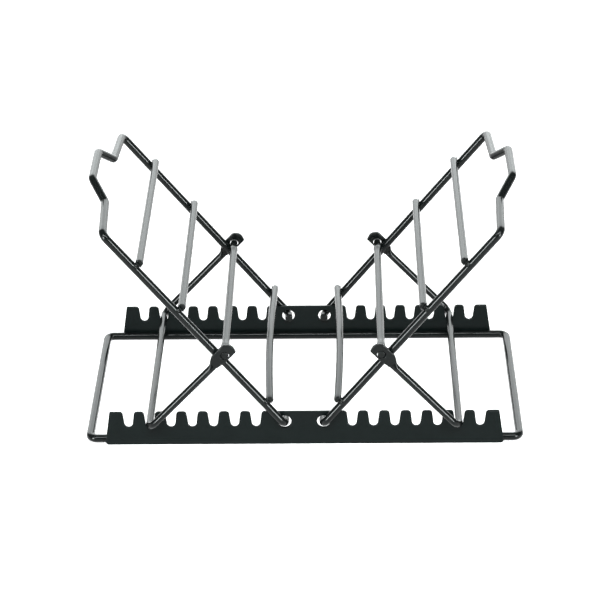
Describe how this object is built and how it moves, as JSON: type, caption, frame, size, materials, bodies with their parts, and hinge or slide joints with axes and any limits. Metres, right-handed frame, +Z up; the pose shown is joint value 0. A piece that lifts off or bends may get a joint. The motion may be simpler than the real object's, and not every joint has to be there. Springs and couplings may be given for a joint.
{
  "type": "adjustable wire display rack",
  "caption": "Black coated wire rack: a base loop between notched plates, with barred wings on pivots, each held at its slope by a folding prop whose foot stands in a notch.",
  "frame": {"origin": "on the table, under the middle of the base", "axes": "+X along the notched plates, to the right; +Y to the back; +Z up"},
  "size_m": [0.269, 0.1598, 0.1587],
  "materials": {
    "wire_coat": "smooth semi-gloss black coat on steel wire",
    "plate_coat": "satin black coat on pressed steel sheet"
  },
  "bodies": {
    "base": {"base_wire": "wire_coat", "front_plate": "plate_coat", "rear_plate": "plate_coat"},
    "left_wing": {"left_frame": "wire_coat", "left_top_bar": "wire_coat", "left_upper_bar": "wire_coat", "left_hinge_bar": "wire_coat", "left_low_bar": "wire_coat"},
    "right_wing": {"right_frame": "wire_coat", "right_top_bar": "wire_coat", "right_upper_bar": "wire_coat", "right_hinge_bar": "wire_coat", "right_low_bar": "wire_coat"},
    "left_prop": {"left_prop": "wire_coat"},
    "right_prop": {"right_prop": "wire_coat"}
  },
  "joints": [
    {"name": "left_wing_tilt", "type": "hinge", "parent": "base", "child": "left_wing", "pos_m": [-0.0116, 0, 0.0154], "axis": [0, 1, 0], "range_deg": [0, 38]},
    {"name": "left_prop_swing", "type": "hinge", "parent": "left_wing", "child": "left_prop", "pos_m": [-0.0469, 0, 0.06572], "axis": [0, 1, 0], "range_deg": [-4, 0]},
    {"name": "right_wing_tilt", "type": "hinge", "parent": "base", "child": "right_wing", "pos_m": [0.0116, 0, 0.0154], "axis": [0, -1, 0], "range_deg": [0, 38]},
    {"name": "right_prop_swing", "type": "hinge", "parent": "right_wing", "child": "right_prop", "pos_m": [0.0469, 0, 0.06572], "axis": [0, -1, 0], "range_deg": [-4, 0]}
  ],
  "couplings": [
    {"joint": "left_prop_swing", "follows": "left_wing_tilt", "ratio": -0.1},
    {"joint": "right_prop_swing", "follows": "right_wing_tilt", "ratio": -0.1}
  ]
}
